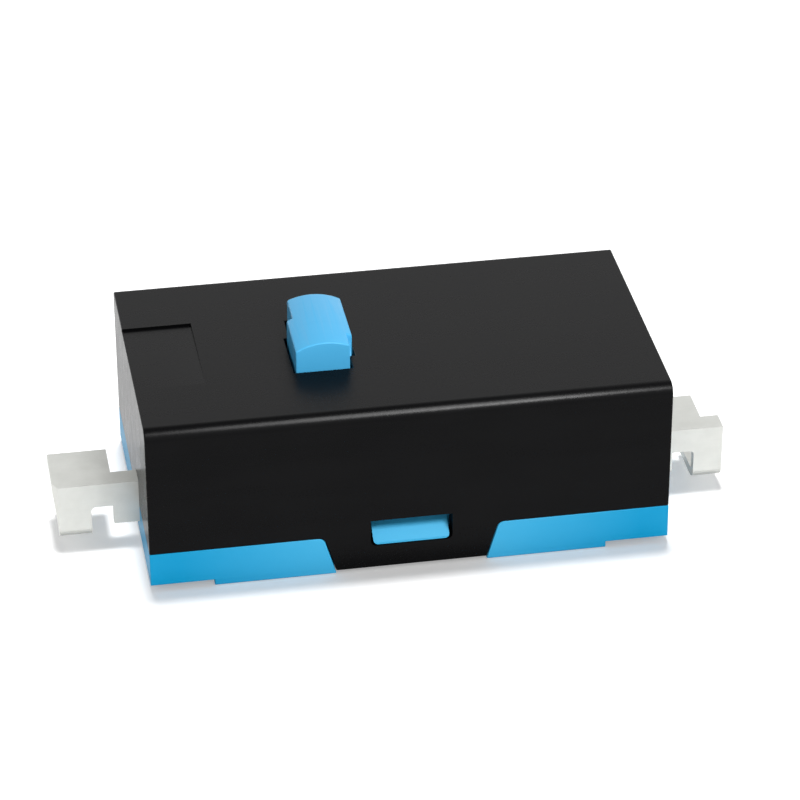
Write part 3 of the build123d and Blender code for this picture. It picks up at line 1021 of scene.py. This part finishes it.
@dataclass
class Softbox:
    """A round soft lamp that looks at the switch.

    Args:
        name: Its name.
        azimuth: Direction round the switch, in degrees from +X towards +Y.
        elevation: Height above the floor, in degrees.
        away_mm: Distance from the switch.
        across_mm: Its diameter.
        light: Brightness of a white surface that faces it, from this lamp alone.
        sheen_only: Whether it shows in glosses only, and lights nothing.
    """

    name: str
    azimuth: float
    elevation: float
    away_mm: float
    across_mm: float
    light: float
    sheen_only: bool = False

    def build(self, aim: Vector, lit: bpy.types.Collection) -> None:
        """Make the lamp.

        Args:
            aim: The point it looks at.
            lit: A collection that says what it lights.
        """
        data = bpy.data.lights.new(self.name, "AREA")
        data.shape = "DISK"
        data.size = self.across_mm * MM
        away = self.away_mm * MM
        data.energy = self.light * math.pi**2 * away**2
        lamp = bpy.data.objects.new(self.name, data)
        side, up = math.radians(self.azimuth), math.radians(self.elevation)
        offset = Vector((math.cos(up) * math.cos(side), math.cos(up) * math.sin(side), math.sin(up))) * away
        lamp.location = aim + offset
        lamp.rotation_euler = offset.to_track_quat("Z", "Y").to_euler()
        bpy.context.scene.collection.objects.link(lamp)
        lamp.light_linking.receiver_collection = lit
        lamp.visible_diffuse = not self.sheen_only


@dataclass
class Studio:
    """White paper floor, a tent of light with bright walls and a dim roof, and three soft lamps.

    Args:
        dome: Brightness of the tent's walls as a source of light.
        room: Brightness of the walls where they are mirrored.
        roof: Brightness of the tent's roof against its walls.
        wall_top: Sine of the height at which the walls begin to dim.
        roof_edge: Sine of the height at which the roof is reached.
        key: The frontal lamp, which lights the switch and not the paper.
        sheen: The card beside it, which shows only as the soft sheen on rounded edges.
        overhead: The lamp that casts the shadow on the paper, and lights nothing else.
        floor_mm: Half the floor's width.
    """

    dome: float = 0.42
    room: float = 1.48
    roof: float = 0.35
    wall_top: float = 0.74
    roof_edge: float = 0.88
    key: Softbox = field(default_factory=lambda: Softbox("key_lamp", -65.0, 48.0, 200.0, 60.0, 1.02))
    sheen: Softbox = field(default_factory=lambda: Softbox("sheen_card", -75.0, 58.0, 200.0, 120.0, 2.4, True))
    overhead: Softbox = field(default_factory=lambda: Softbox("overhead_lamp", 84.0, 82.0, 200.0, 32.0, 1.0))
    floor_mm: float = 1500.0

    def build_world(self) -> None:
        """Make the tent: plain white where it is seen, dimmer as a source of light."""
        world = bpy.data.worlds.new("tent")
        world.use_nodes = True
        tree = world.node_tree
        tree.nodes.clear()
        way = node(tree, "ShaderNodeTexCoord").outputs["Generated"]
        height = node(tree, "ShaderNodeSeparateXYZ", {"Vector": way}).outputs["Z"]
        fall = ramp(tree, height, self.wall_top, self.roof_edge, 1.0, self.roof)
        path = node(tree, "ShaderNodeLightPath").outputs
        shiny = node(
            tree,
            "ShaderNodeMath",
            {0: path["Is Glossy Ray"], 1: path["Is Transmission Ray"]},
            operation="MAXIMUM",
        )
        level = ramp(tree, shiny.outputs["Value"], 0.0, 1.0, self.dome, self.room)
        lit = node(tree, "ShaderNodeMath", {0: level, 1: fall}, operation="MULTIPLY")
        seen = node(
            tree,
            "ShaderNodeMath",
            {0: lit.outputs["Value"], 1: path["Is Camera Ray"]},
            operation="MAXIMUM",
        )
        back = node(
            tree,
            "ShaderNodeBackground",
            {"Color": linear("#FFFFFF"), "Strength": seen.outputs["Value"]},
        )
        node(tree, "ShaderNodeOutputWorld", {"Surface": back.outputs["Background"]})
        bpy.context.scene.world = world

    def build_floor(self) -> bpy.types.Object:
        """Lay the paper.

        Returns:
            The floor.
        """
        half = self.floor_mm * MM
        mesh = bpy.data.meshes.new("paper_floor")
        corners = [(-half, -half, 0.0), (half, -half, 0.0), (half, half, 0.0), (-half, half, 0.0)]
        mesh.from_pydata(corners, [], [(0, 1, 2, 3)])
        mesh.materials.append(StudioSweep().material())
        floor = link("paper_floor", mesh)
        return floor

    def build(self, shell: bpy.types.Object) -> None:
        """Build the floor, the tent and the lamps.

        Args:
            shell: The dark shell whose edges the sheen card draws.
        """
        self.build_world()
        floor = self.build_floor()
        low, high = CAD_BOX
        aim = (Vector(low) + Vector(high)) / 2
        for lamp, target, state in (
            (self.key, floor, "EXCLUDE"),
            (self.sheen, shell, "INCLUDE"),
            (self.overhead, floor, "INCLUDE"),
        ):
            lit = bpy.data.collections.new(lamp.name + "_lights")
            lit.objects.link(target)
            lit.collection_objects[0].light_linking.link_state = state
            lamp.build(aim, lit)
        bpy.context.scene.view_settings.view_transform = "Standard"


def main() -> None:
    """Build the studio and each sub-assembly in order."""
    Camera().build()
    cover = Housing().build()
    Studio().build(cover)
    Button().build()
    Terminals().build()
    SnapWorks().build()


if __name__ == "__main__":
    logging.basicConfig(level=logging.INFO)
    main()
